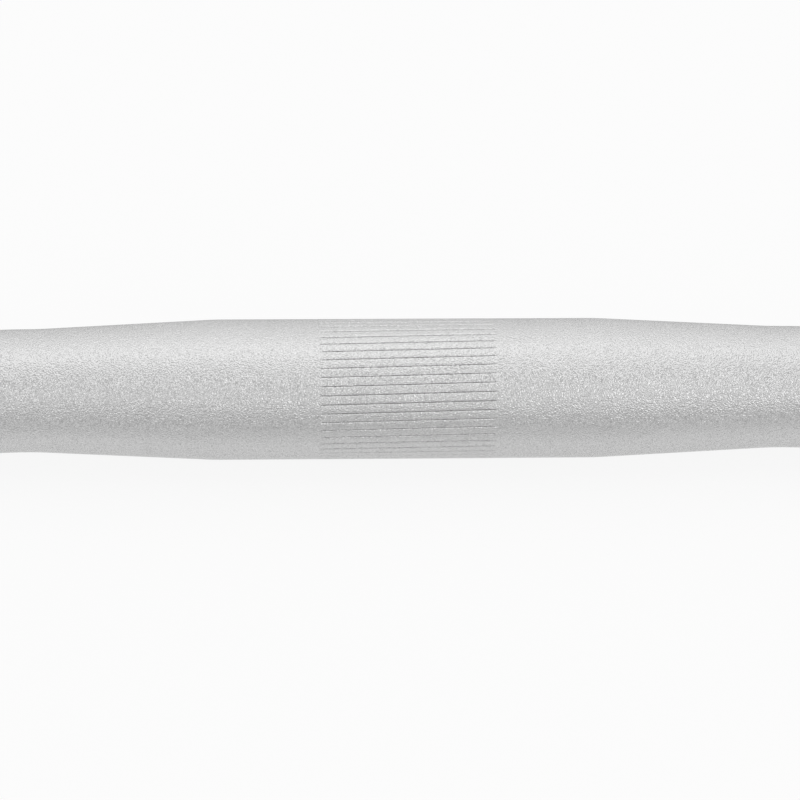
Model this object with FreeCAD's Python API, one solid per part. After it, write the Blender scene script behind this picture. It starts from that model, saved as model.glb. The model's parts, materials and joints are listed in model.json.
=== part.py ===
import FreeCAD, Part
import math
import os

from FreeCAD import Placement, Rotation, Vector

# Flat bicycle handlebar: one aluminium tube, swaged down on both sides of a round clamp section,
# bent back a little at each end, and rolled with fine skewed grooves where the stem holds it.
# Millimetres and degrees. X runs along the bar, the grips sweep back towards -Y, and Z is up.
# The origin is the middle of the clamp section, on its axis. The bar lies as it rests on a table.

# Driving dimensions: the bar as a whole
bar_width = 580.0  # between the middles of the two end faces, along X
sweep_angle = 6.0  # each grip, back from the clamp's axis
bend_radius = 89.0  # of the tube's centre line

# Driving dimensions: the clamp section and the tapers
clamp_diameter = 25.4
clamp_length = 66.0  # the true cylinder, between the two shoulders
clamp_wall = 2.4
taper_length = 35.0  # from the end of the cylinder to the full grip diameter
shoulder_radius = 60.0  # rounds the cylinder into the taper
neck_radius = 60.0  # rounds the taper into the grip

# Driving dimensions: the grips and the tube's open ends
grip_diameter = 22.2
grip_wall = 2.0
end_chamfer = 0.5  # outer edge of the end face
bore_chamfer = 0.4  # inner edge of the end face

# Driving dimensions: the rolled grooves of the clamp section
groove_count = 48
groove_length = 31.8
groove_width = 0.5  # of the mouth
groove_depth = 0.22
groove_ramp = 0.5  # run-out at each end, along the groove
groove_skew = 1.3  # of each groove to the bar's axis

# Worked out from the dimensions above
clamp_radius = clamp_diameter / 2
grip_radius = grip_diameter / 2
clamp_half = clamp_length / 2
taper_end = clamp_half + taper_length
sweep = math.radians(sweep_angle)
bend_end = Vector(taper_end + bend_radius * math.sin(sweep), -bend_radius * (1 - math.cos(sweep)), 0)
grip_length = (bar_width / 2 - bend_end.x) / math.cos(sweep)
end_offset = grip_length * math.sin(sweep) - bend_end.y

AXIS_X = Vector(1, 0, 0)
AXIS_Z = Vector(0, 0, 1)
ORIGIN = Vector(0, 0, 0)


def tapered_wall(start_radius, end_radius):
    """Edges of one wall of the tube, outer or inner, from the bar's middle to the end of the taper."""
    start, end = Vector(0, start_radius, 0), Vector(taper_end, end_radius, 0)
    if math.isclose(start_radius, end_radius):
        return [Part.LineSegment(start, end).toShape()]
    inward = math.copysign(1, start_radius - end_radius)
    shoulder = Vector(clamp_half, start_radius - inward * shoulder_radius, 0)
    neck = Vector(taper_end, end_radius + inward * neck_radius, 0)
    between = neck - shoulder
    reach = math.asin((shoulder_radius + neck_radius) / between.Length)
    slope = reach - math.atan2(inward * between.y, between.x)

    def on_shoulder(angle):
        return shoulder + Vector(math.sin(angle), inward * math.cos(angle), 0) * shoulder_radius

    def on_neck(angle):
        return neck - Vector(math.sin(angle), inward * math.cos(angle), 0) * neck_radius

    return [
        Part.LineSegment(start, on_shoulder(0)).toShape(),
        Part.Arc(on_shoulder(0), on_shoulder(slope / 2), on_shoulder(slope)).toShape(),
        Part.LineSegment(on_shoulder(slope), on_neck(slope)).toShape(),
        Part.Arc(on_neck(slope), on_neck(slope / 2), on_neck(0)).toShape(),
    ]


def clamp_half_tube():
    """Half of the clamp section with its taper, turned about the bar's axis."""
    clamp_bore = clamp_radius - clamp_wall
    grip_bore = grip_radius - grip_wall
    middle = Part.LineSegment(Vector(0, clamp_bore, 0), Vector(0, clamp_radius, 0)).toShape()
    end = Part.LineSegment(Vector(taper_end, grip_radius, 0), Vector(taper_end, grip_bore, 0)).toShape()
    outer = tapered_wall(clamp_radius, grip_radius)
    inner = tapered_wall(clamp_bore, grip_bore)
    outline = Part.Wire([middle] + outer + [end] + inner[::-1])
    return Part.Face(outline).revolve(ORIGIN, AXIS_X, 360)


def bent_tube():
    """The short bend between the taper and the grip, a ring turned about the bend's own centre."""
    start = Vector(taper_end, 0, 0)
    rims = [Part.Wire(Part.Circle(start, AXIS_X, r).toShape()) for r in (grip_radius, grip_radius - grip_wall)]
    ring = Part.Face(rims[0]).cut(Part.Face(rims[1]))
    return ring.Faces[0].revolve(start - Vector(0, bend_radius, 0), AXIS_Z, -sweep_angle)


def grip_tube():
    """The straight grip with its open, chamfered end, set on the end of the bend."""
    bore = grip_radius - grip_wall
    corners = [
        Vector(0, bore, 0),
        Vector(0, grip_radius, 0),
        Vector(grip_length - end_chamfer, grip_radius, 0),
        Vector(grip_length, grip_radius - end_chamfer, 0),
        Vector(grip_length, bore + bore_chamfer, 0),
        Vector(grip_length - bore_chamfer, bore, 0),
    ]
    outline = Part.makePolygon(corners + corners[:1])
    tube = Part.Face(outline).revolve(ORIGIN, AXIS_X, 360)
    tube.Placement = Placement(bend_end, Rotation(AXIS_Z, -sweep_angle))
    return tube


def plain_bar():
    """The whole tube before the grooves are rolled: one side, its mirror image, and both made one."""
    side = clamp_half_tube().fuse([bent_tube(), grip_tube()])
    return side.fuse(side.mirror(ORIGIN, AXIS_X)).removeSplitter()


def groove_cutter():
    """A long V with ramped ends, over the top of the clamp section and skewed to the bar's axis.

    It is twice as tall as the groove is deep, so that its flat top stands clear of the surface.
    """
    bottom = clamp_radius - groove_depth
    top = clamp_radius + groove_depth
    bottom_half = groove_length / 2 - groove_ramp
    top_half = groove_length / 2 + groove_ramp
    near, far = Vector(-bottom_half, 0, bottom), Vector(bottom_half, 0, bottom)
    rim = [
        Vector(-top_half, -groove_width, top),
        Vector(top_half, -groove_width, top),
        Vector(top_half, groove_width, top),
        Vector(-top_half, groove_width, top),
    ]
    outlines = [
        rim,
        [rim[0], rim[1], far, near],
        [rim[1], rim[2], far],
        [rim[2], rim[3], near, far],
        [rim[3], rim[0], near],
    ]
    faces = [Part.Face(Part.makePolygon(points + points[:1])) for points in outlines]
    cutter = Part.makeSolid(Part.makeShell(faces))
    cutter.rotate(ORIGIN, AXIS_Z, groove_skew)
    return cutter


def grooved(bar):
    """The bar with a ring of grooves cut round the clamp section."""
    cutters = []
    for number in range(groove_count):
        cutter = groove_cutter()
        cutter.rotate(ORIGIN, AXIS_X, number * 360 / groove_count)
        cutters.append(cutter)
    return bar.cut(cutters)


def laid_down(bar):
    """The bar rolled about the clamp's axis until its ends touch the surface that the clamp rests on."""
    rest_roll = math.degrees(math.asin((clamp_radius - grip_radius) / end_offset))
    bar.rotate(ORIGIN, AXIS_X, rest_roll)
    return bar


def main():
    handlebar = laid_down(grooved(plain_bar())).Solids[0]
    os.makedirs("parts", exist_ok=True)
    handlebar.exportStep("parts/handlebar.step")
    print("valid", handlebar.isValid(), "faces", len(handlebar.Faces))
    print("volume", round(handlebar.Volume, 1), "box", handlebar.BoundBox)


main()
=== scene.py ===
import json
import math

import bmesh
import bpy
from mathutils import Matrix, Vector


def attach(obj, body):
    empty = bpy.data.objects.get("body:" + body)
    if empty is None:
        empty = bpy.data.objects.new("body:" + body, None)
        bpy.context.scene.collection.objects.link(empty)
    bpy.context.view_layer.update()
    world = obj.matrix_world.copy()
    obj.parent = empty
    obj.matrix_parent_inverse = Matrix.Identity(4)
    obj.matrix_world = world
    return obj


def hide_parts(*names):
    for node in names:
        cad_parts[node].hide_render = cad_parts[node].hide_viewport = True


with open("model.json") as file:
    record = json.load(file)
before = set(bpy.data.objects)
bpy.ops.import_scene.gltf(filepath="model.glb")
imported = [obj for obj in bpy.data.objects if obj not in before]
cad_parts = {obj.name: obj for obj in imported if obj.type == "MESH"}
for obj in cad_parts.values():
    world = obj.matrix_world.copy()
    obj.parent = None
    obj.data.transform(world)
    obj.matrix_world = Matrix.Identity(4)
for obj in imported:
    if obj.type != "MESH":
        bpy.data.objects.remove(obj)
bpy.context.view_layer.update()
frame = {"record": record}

# A flat aluminium handlebar, seen close at its grooved clamp section. Metres, in the frame of the
# solid: X along the bar, the grips swept back towards -Y, Z up, the origin in the clamp's middle.

MM = 0.001
mounts = {mount["name"]: mount for mount in frame["record"]["mounts"]}
grip_axis = Vector(mounts["right_grip"]["axis"])

# Sizes that the record states
clamp_radius = mounts["stem_clamp"]["dims"]["r_mm"] * MM
clamp_half = mounts["stem_clamp"]["dims"]["length_mm"] * MM / 2
grip_radius = mounts["right_grip"]["dims"]["r_mm"] * MM
grip_wall_length = mounts["right_grip"]["dims"]["length_mm"] * MM
bore_radius = mounts["right_end_bore"]["dims"]["r_mm"] * MM
bore_wall_length = mounts["right_end_bore"]["dims"]["length_mm"] * MM
sweep = math.acos(grip_axis.x)
rest_roll = math.atan2(-grip_axis.z, -grip_axis.y)

# Sizes of the solid that the record doesn't state
clamp_wall = 2.4 * MM
taper_length = 35 * MM
shoulder_radius = 60 * MM
neck_radius = 60 * MM
bend_radius = 89 * MM
end_chamfer = 0.5 * MM
bore_chamfer = 0.4 * MM
groove_count = 48
groove_length = 31.8 * MM
groove_ramp = 0.5 * MM
groove_skew = math.radians(1.3)

taper_end = clamp_half + taper_length
band_end = groove_length / 2
floor_height = -clamp_radius

# A groove's section, step by step from the middle of one land to the next, in millimetres: place,
# depth, and a share that is both how far the rolling has smoothed the grain and how much painted shade
# darkens the colour, most in the core. A gentle shoulder leads down to a narrow core, and a low lip
# stands on the core's other side.
groove_section = [
    (-0.831, 0.0, 0.0), (-0.55, -0.003, 0.0), (-0.32, -0.006, 0.0), (-0.19, 0.025, 0.0),
    (-0.065, 0.066, 0.0), (-0.03, 0.1, 0.2), (0.0, 0.135, 1.0), (0.025, 0.105, 0.8),
    (0.05, 0.075, 0.2), (0.16, 0.03, 0.0), (0.27, -0.008, 0.0), (0.55, -0.004, 0.0)]

# How finely the tube is divided
steps_per_groove = len(groove_section)
turn_steps = groove_count * steps_per_groove
band_steps = 5
clamp_steps = 3
arc_steps = 6
cone_steps = 3
bend_steps = 5
grip_steps = 6

# How near a point is to a place to count as there, how near two points are to be welded, and how far
# an edge turns before it is shown sharp
same_place = 0.01 * MM
weld_gap = 0.001 * MM
crisp = math.radians(32)

# Grain of the metal, in patches to the metre, and the depth of the blasted dents. The streaks of the
# drawn bore are long ones, along the bar.
dent_scale = 4000
dent_depth = 0.14 * MM
speck_scale = 6000
cloud_scale = 60
streak_scale = (60, 2200, 2200)
# Lightness of the metal, from the painted shade in a groove's core to the palest speck
metal_levels = [(0.0, 0.42), (0.25, 0.675), (1.0, 0.96)]
blasted_roughness = 0.18

# Brightness of the room by height, from the table's level at 0.5 to straight up at 1, and what the
# wall behind the bar adds to it, from nothing at the sides at 0.5 to most straight back at 1
room_levels = [(0.5, 0.74), (0.625, 0.70), (0.75, 0.66), (0.875, 0.58), (1.0, 0.52)]
wall_levels = [(0.5, 0.0), (1.0, 0.12)]
# Brightness of the painted glow that the metal reflects from the table, a painted reflection and no
# lamp, by distance from the bar's axis to the front and to the back, in shares of the reach
painted_glow_reach = 0.25
front_levels = [(0.048, 0.75), (0.08, 0.69), (0.128, 0.52), (0.2, 0.30), (0.36, 0.56), (1.0, 0.58)]
back_levels = [(0.048, 0.75), (0.08, 0.69), (0.128, 0.55), (0.2, 0.42), (0.36, 0.66), (1.0, 0.86)]
painted_glow_levels = [(0.5 - share / 2, level) for share, level in front_levels[::-1]]
painted_glow_levels += [(0.5 + share / 2, level) for share, level in back_levels]
# How much of the table is white light to the camera, and how much is that painted glow to the metal
white_share = 0.86
painted_glow_share = 0.85
floor_reach = 30
floor_segments = 8


def draw_line(bm, pen, away, steps):
    """Carries a vertex along a straight line and returns the last one."""
    for _ in range(steps):
        made = bmesh.ops.extrude_vert_indiv(bm, verts=[pen])
        pen = made["verts"][0]
        bmesh.ops.translate(bm, vec=Vector(away) / steps, verts=[pen])
    return pen


def draw_arc(bm, pen, centre, angle, steps):
    """Carries a vertex round a centre in the profile's plane and returns the last one."""
    made = bmesh.ops.spin(bm, geom=[pen], cent=centre, axis=(0, 0, 1), angle=angle, steps=steps)
    return next(part for part in made["geom_last"] if isinstance(part, bmesh.types.BMVert))


def draw_wall(bm, start_radius, end_radius, band_stations):
    """The profile of one wall, from the bar's middle along the clamp section and down the taper."""
    pen = bm.verts.new((0, start_radius, 0))
    for station in band_stations:
        pen = draw_line(bm, pen, (station - pen.co.x, 0, 0), 1)
    pen = draw_line(bm, pen, (clamp_half - pen.co.x, 0, 0), clamp_steps)
    shoulder = Vector((clamp_half, start_radius - shoulder_radius, 0))
    neck = Vector((taper_end, end_radius + neck_radius, 0))
    between = neck - shoulder
    reach = math.asin((shoulder_radius + neck_radius) / between.length)
    slope = reach - math.atan2(between.y, between.x)
    pen = draw_arc(bm, pen, shoulder, -slope, arc_steps)
    run = taper_end - neck_radius * math.sin(slope) - pen.co.x
    pen = draw_line(bm, pen, (run, -run * math.tan(slope), 0), cone_steps)
    draw_arc(bm, pen, neck, slope, arc_steps)


def ring_edges(verts):
    """The edges that join these vertices to each other, in the same order on every run."""
    ring = set(verts)
    linked = dict.fromkeys(edge for vert in verts for edge in vert.link_edges)
    return [edge for edge in linked if set(edge.verts) <= ring]


def lengthen(bm, ring, away, radius_share=1.0):
    """Draws a ring of the tube out to a new one, wider or narrower, and returns the new one."""
    made = bmesh.ops.extrude_edge_only(bm, edges=ring_edges(ring))["geom"]
    ring = [part for part in made if isinstance(part, bmesh.types.BMVert)]
    bmesh.ops.translate(bm, vec=away, verts=ring)
    middle = sum((vert.co for vert in ring), Vector()) / len(ring)
    share = Vector((radius_share, radius_share, radius_share))
    bmesh.ops.scale(bm, vec=share, space=Matrix.Translation(-middle), verts=ring)
    return ring


def bend_back(bm, start_radius):
    """Bends one wall of the tube back from the end of its taper and returns the bend's last ring."""
    on_end = [v for v in bm.verts if abs(v.co.x - taper_end) < same_place]
    ring = [v for v in on_end if abs(math.hypot(v.co.y, v.co.z) - start_radius) < same_place]
    made = bmesh.ops.spin(
        bm, geom=ring + ring_edges(ring), cent=(taper_end, -bend_radius, 0), axis=(0, 0, 1),
        angle=-sweep, steps=bend_steps)
    return [part for part in made["geom_last"] if isinstance(part, bmesh.types.BMVert)]


def tube_side(bm):
    """The right side of the bar: clamp section, taper, bend and grip, with the open bore inside."""
    inside = bm.verts.layers.float.new("inside")
    ramp_start = band_end - groove_ramp
    stations = [ramp_start * n / band_steps for n in range(1, band_steps + 1)]
    stations += [ramp_start + groove_ramp / 2, band_end, band_end + groove_ramp / 2]
    draw_wall(bm, clamp_radius, grip_radius, stations)
    outer = set(bm.verts)
    draw_wall(bm, clamp_radius - clamp_wall, bore_radius, [band_end])
    for vert in set(bm.verts) - outer:
        vert[inside] = 1
    profile = bm.verts[:] + bm.edges[:]
    bmesh.ops.spin(bm, geom=profile, axis=(1, 0, 0), angle=math.tau, steps=turn_steps, use_merge=True)

    along = Vector((math.cos(sweep), -math.sin(sweep), 0))
    grip = bend_back(bm, grip_radius)
    bore = bend_back(bm, bore_radius)
    for _ in range(grip_steps):
        grip = lengthen(bm, grip, along * grip_wall_length / grip_steps)
        bore = lengthen(bm, bore, along * bore_wall_length / grip_steps)
    lengthen(bm, grip, along * end_chamfer, 1 - end_chamfer / grip_radius)
    bore = lengthen(bm, bore, along * bore_chamfer, 1 + bore_chamfer / bore_radius)
    rim = lengthen(bm, bore, Vector(), (grip_radius - end_chamfer) / (bore_radius + bore_chamfer))
    for vert in bore + rim:
        vert[inside] = 0


def roll_grooves(bm):
    """Shapes every groove in the clamp's surface, skewed to the axis, with a run-out at each end."""
    per_radian = turn_steps / math.tau
    half = steps_per_groove // 2
    rolled = bm.verts.layers.float.new("rolled")
    for vert in bm.verts:
        x, y, z = vert.co
        radius = math.hypot(y, z)
        if abs(x) > clamp_half or radius < clamp_radius - same_place:
            continue
        angle = math.atan2(-y, z)
        step = (round(angle * per_radian) + half) % steps_per_groove - half
        place, depth, smoothing_and_shade = groove_section[step + half]
        run_out = min(1, max(0, (band_end - abs(x)) / groove_ramp))
        near_band = min(1, (clamp_half - abs(x)) / (clamp_half - band_end))
        moved = place * MM / clamp_radius - step / per_radian
        angle += near_band * (moved - math.tan(groove_skew) * x / clamp_radius)
        radius -= depth * MM * run_out
        vert.co = (x, -radius * math.sin(angle), radius * math.cos(angle))
        # This share smooths the grain and also paints shade into the groove's colour.
        vert[rolled] = smoothing_and_shade * run_out


def make_handlebar():
    """The whole bar: one side and its mirror image, welded, grooved and laid down as it rests."""
    bm = bmesh.new()
    tube_side(bm)
    everything = bm.verts[:] + bm.edges[:] + bm.faces[:]
    bmesh.ops.mirror(bm, geom=everything, matrix=Matrix(), merge_dist=weld_gap, axis="X")
    bmesh.ops.remove_doubles(bm, verts=bm.verts, dist=weld_gap)
    bmesh.ops.recalc_face_normals(bm, faces=bm.faces)
    roll_grooves(bm)
    bmesh.ops.rotate(bm, matrix=Matrix.Rotation(rest_roll, 3, "X"), verts=bm.verts)
    for face in bm.faces:
        face.smooth = True
    for edge in bm.edges:
        edge.smooth = edge.calc_face_angle(0) < crisp
    mesh = bpy.data.meshes.new("grooved_bar")
    bm.to_mesh(mesh)
    bm.free()
    bar = bpy.data.objects.new("grooved_bar", mesh)
    bpy.context.scene.collection.objects.link(bar)
    return bar


class Signal:
    """A shader socket that takes part in sums."""

    def __init__(self, finish, socket):
        self.finish = finish
        self.socket = socket

    def maths(self, operation, first, second):
        return self.finish.node("ShaderNodeMath", {"operation": operation}, {0: first, 1: second})

    def __add__(self, other):
        return self.maths("ADD", self, other)

    def __radd__(self, other):
        return self.maths("ADD", other, self)

    def __sub__(self, other):
        return self.maths("SUBTRACT", self, other)

    def __rsub__(self, other):
        return self.maths("SUBTRACT", other, self)

    def __mul__(self, other):
        return self.maths("MULTIPLY", self, other)

    def __rmul__(self, other):
        return self.maths("MULTIPLY", other, self)


class Finish:
    """The node tree of one surface finish, or of the light all round."""

    def __init__(self, tree):
        self.tree = tree
        tree.nodes.clear()

    def node(self, kind, settings=None, sockets=None, output=0):
        made = self.tree.nodes.new(kind)
        for name, value in (settings or {}).items():
            if name == "stops":
                ramp = made.color_ramp
                while len(ramp.elements) < len(value):
                    ramp.elements.new(0.5)
                for element, (position, level) in zip(ramp.elements, value):
                    element.position = position
                    element.color = (level, level, level, 1)
            else:
                setattr(made, name, value)
        for name, value in (sockets or {}).items():
            if isinstance(value, Signal):
                self.tree.links.new(value.socket, made.inputs[name])
            else:
                made.inputs[name].default_value = value
        return Signal(self, made.outputs[output]) if made.outputs else None


def material(name):
    made = bpy.data.materials.new(name)
    made.use_nodes = True
    return made, Finish(made.node_tree)


def blasted_aluminium():
    """Bead-blasted aluminium: a fine even grain of tiny dents, pressed smooth in the grooves, with
    painted shade darkening the grooves' cores.

    The bore keeps the surface that it was drawn with, smoother and darker, with fine streaks along it.
    """
    made, finish = material("blasted_aluminium")

    def mottle(where, scale, detail):
        sockets = {"Vector": where, "Scale": scale, "Detail": detail}
        return finish.node("ShaderNodeTexNoise", None, sockets, "Fac")

    # This attribute smooths the grain in the grooves and carries the painted shade in their cores.
    rolled = finish.node("ShaderNodeAttribute", {"attribute_name": "rolled"}, None, "Fac")
    inside = finish.node("ShaderNodeAttribute", {"attribute_name": "inside"}, None, "Fac")
    place = finish.node("ShaderNodeTexCoord", output="Object")
    along = finish.node("ShaderNodeMapping", None, {"Vector": place, "Scale": streak_scale}, "Vector")
    dents = mottle(place, dent_scale, 0.0)
    specks = mottle(place, speck_scale, 0.0)
    cloud = mottle(place, cloud_scale, 3.0)
    streaks = mottle(along, 1.0, 2.0)

    left_rough = 1 - rolled * 0.5 - inside * 0.8
    relief = finish.node(
        "ShaderNodeBump", None,
        {"Height": dents * left_rough, "Strength": 1.0, "Distance": dent_depth}, "Normal")
    # Painted shade: the colour is darkened in the groove cores. The bore keeps its own darker drawn
    # tone.
    left_after_groove_shade_and_bore = 1 - rolled * 0.8 - inside * 0.8
    tone = (specks * 0.9 + cloud * 0.1) * left_after_groove_shade_and_bore + streaks * inside * 0.8
    shade = finish.node("ShaderNodeValToRGB", {"stops": metal_levels}, {"Fac": tone}, "Color")
    unevenness = (cloud - 0.5) * 0.06
    drawn_roughness = (streaks + 0.5) * inside * 0.25
    roughness = blasted_roughness + unevenness + drawn_roughness
    skin = finish.node(
        "ShaderNodeBsdfPrincipled", None,
        {"Base Color": shade, "Metallic": 1.0, "Roughness": roughness, "Normal": relief}, "BSDF")
    finish.node("ShaderNodeOutputMaterial", None, {"Surface": skin})
    return made


def table_with_painted_glow():
    """A white table top that keeps the bar's soft shadow, with a painted glow that only reflections
    see.

    The glow is painted reflection, not lamp light: the metal shows it brightest under the bar, dimmest
    about five centimetres from the bar's axis, and paler again further off, more so behind the bar
    than in front.
    """
    made, finish = material("table_with_painted_glow")
    top = finish.node("ShaderNodeBsdfDiffuse", None, {"Color": (0.96, 0.96, 0.96, 1)}, "BSDF")
    white = finish.node("ShaderNodeEmission", None, {"Color": (1, 1, 1, 1)}, "Emission")
    place = finish.node("ShaderNodeTexCoord", output="Object")
    across = finish.node("ShaderNodeSeparateXYZ", None, {"Vector": place}, "Y")
    reached = across * (0.5 / painted_glow_reach) + 0.5
    level = finish.node("ShaderNodeValToRGB", {"stops": painted_glow_levels}, {"Fac": reached}, "Color")
    # Painted reflection: the glow that the metal sees on the table, graded by place, with no lamp
    # behind it.
    painted_glow = finish.node("ShaderNodeEmission", None, {"Color": level}, "Emission")
    seen = finish.node("ShaderNodeLightPath", output="Is Camera Ray")
    glossy = finish.node("ShaderNodeLightPath", output="Is Glossy Ray")
    through = finish.node("ShaderNodeLightPath", output="Is Transmission Ray")
    whitened = seen * white_share
    plain = finish.node("ShaderNodeMixShader", None, {0: whitened, 1: top, 2: white}, "Shader")
    mirrored = (glossy + through) * painted_glow_share
    table = finish.node("ShaderNodeMixShader", None, {0: mirrored, 1: plain, 2: painted_glow}, "Shader")
    finish.node("ShaderNodeOutputMaterial", None, {"Surface": table})
    return made


def lay_floor():
    bm = bmesh.new()
    bmesh.ops.create_grid(bm, x_segments=floor_segments, y_segments=floor_segments, size=floor_reach)
    bmesh.ops.translate(bm, vec=(0, 0, floor_height), verts=bm.verts)
    mesh = bpy.data.meshes.new("floor")
    bm.to_mesh(mesh)
    bm.free()
    floor = bpy.data.objects.new("floor", mesh)
    bpy.context.scene.collection.objects.link(floor)
    mesh.materials.append(table_with_painted_glow())


def soft_box(name, place, width, depth, brightness):
    """A flat studio lamp that faces the bar's middle."""
    lamp = bpy.data.lights.new(name, "AREA")
    lamp.shape = "RECTANGLE"
    lamp.size = width
    lamp.size_y = depth
    lamp.energy = math.pi * width * depth * brightness
    holder = bpy.data.objects.new(name, lamp)
    bpy.context.scene.collection.objects.link(holder)
    holder.location = place
    holder.rotation_euler = (-Vector(place)).to_track_quat("-Z", "Y").to_euler()
    holder.visible_camera = False


def light_room():
    """The room's own light, paler low down and behind the bar, and the lamps."""
    world = bpy.data.worlds.new("studio")
    bpy.context.scene.world = world
    world.use_nodes = True
    room = Finish(world.node_tree)
    way = room.node("ShaderNodeTexCoord", output="Generated")
    height = room.node("ShaderNodeSeparateXYZ", None, {"Vector": way}, "Z") * 0.5 + 0.5
    back = room.node("ShaderNodeSeparateXYZ", None, {"Vector": way}, "Y") * 0.5 + 0.5
    level = room.node("ShaderNodeValToRGB", {"stops": room_levels}, {"Fac": height}, "Color")
    wall = room.node("ShaderNodeValToRGB", {"stops": wall_levels}, {"Fac": back}, "Color")
    air = room.node("ShaderNodeBackground", None, {"Color": level + wall}, "Background")
    room.node("ShaderNodeOutputWorld", None, {"Surface": air})
    soft_box("overhead_box", (0, 0.15, 0.68), width=1.1, depth=0.86, brightness=0.44)
    soft_box("overhead_strip", (0, -0.1, 0.68), width=1.1, depth=0.2, brightness=0.16)
    soft_box("right_box", (0.64, -0.87, 0.53), width=1.0, depth=0.42, brightness=0.7)
    soft_box("left_box", (-0.78, -0.80, 0.42), width=0.8, depth=0.42, brightness=0.4)


def turned(first, second, angle):
    """Two axes, both turned by an angle in the plane that they span."""
    cosine, sine = math.cos(angle), math.sin(angle)
    return first * cosine - second * sine, first * sine + second * cosine


def stand_camera():
    """A long lens in front of the bar and above it, tilted by a fraction of a degree."""
    distance = 500 * MM
    pixels_per_metre = 5505
    height_angle, turn, tilt = math.radians(37.87), math.radians(3.0), math.radians(0.333)
    image_side = 800
    bar_pixel = (405.3, 388.65)
    right = Vector((1, 0, 0))
    up = Vector((0, math.sin(height_angle), math.cos(height_angle)))
    away = Vector((0, math.cos(height_angle), -math.sin(height_angle)))
    right, away = turned(right, away, turn)
    right, up = turned(right, up, tilt)
    aim = right * (image_side / 2 - bar_pixel[0]) / pixels_per_metre
    aim += up * (bar_pixel[1] - image_side / 2) / pixels_per_metre
    lens = bpy.data.cameras.new("camera")
    lens.sensor_fit = "HORIZONTAL"
    lens.sensor_width = 36
    lens.lens = pixels_per_metre * distance / image_side * lens.sensor_width
    lens.clip_start = 10 * MM
    camera = bpy.data.objects.new("camera", lens)
    bpy.context.scene.collection.objects.link(camera)
    axes = Matrix((right, up, -away)).transposed().to_4x4()
    camera.matrix_world = Matrix.Translation(aim - away * distance) @ axes
    bpy.context.scene.camera = camera


bpy.context.scene.view_settings.view_transform = "Standard"
stand_camera()
light_room()
lay_floor()
bar = make_handlebar()
bar.data.materials.append(blasted_aluminium())
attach(bar, "root")
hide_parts("handlebar")
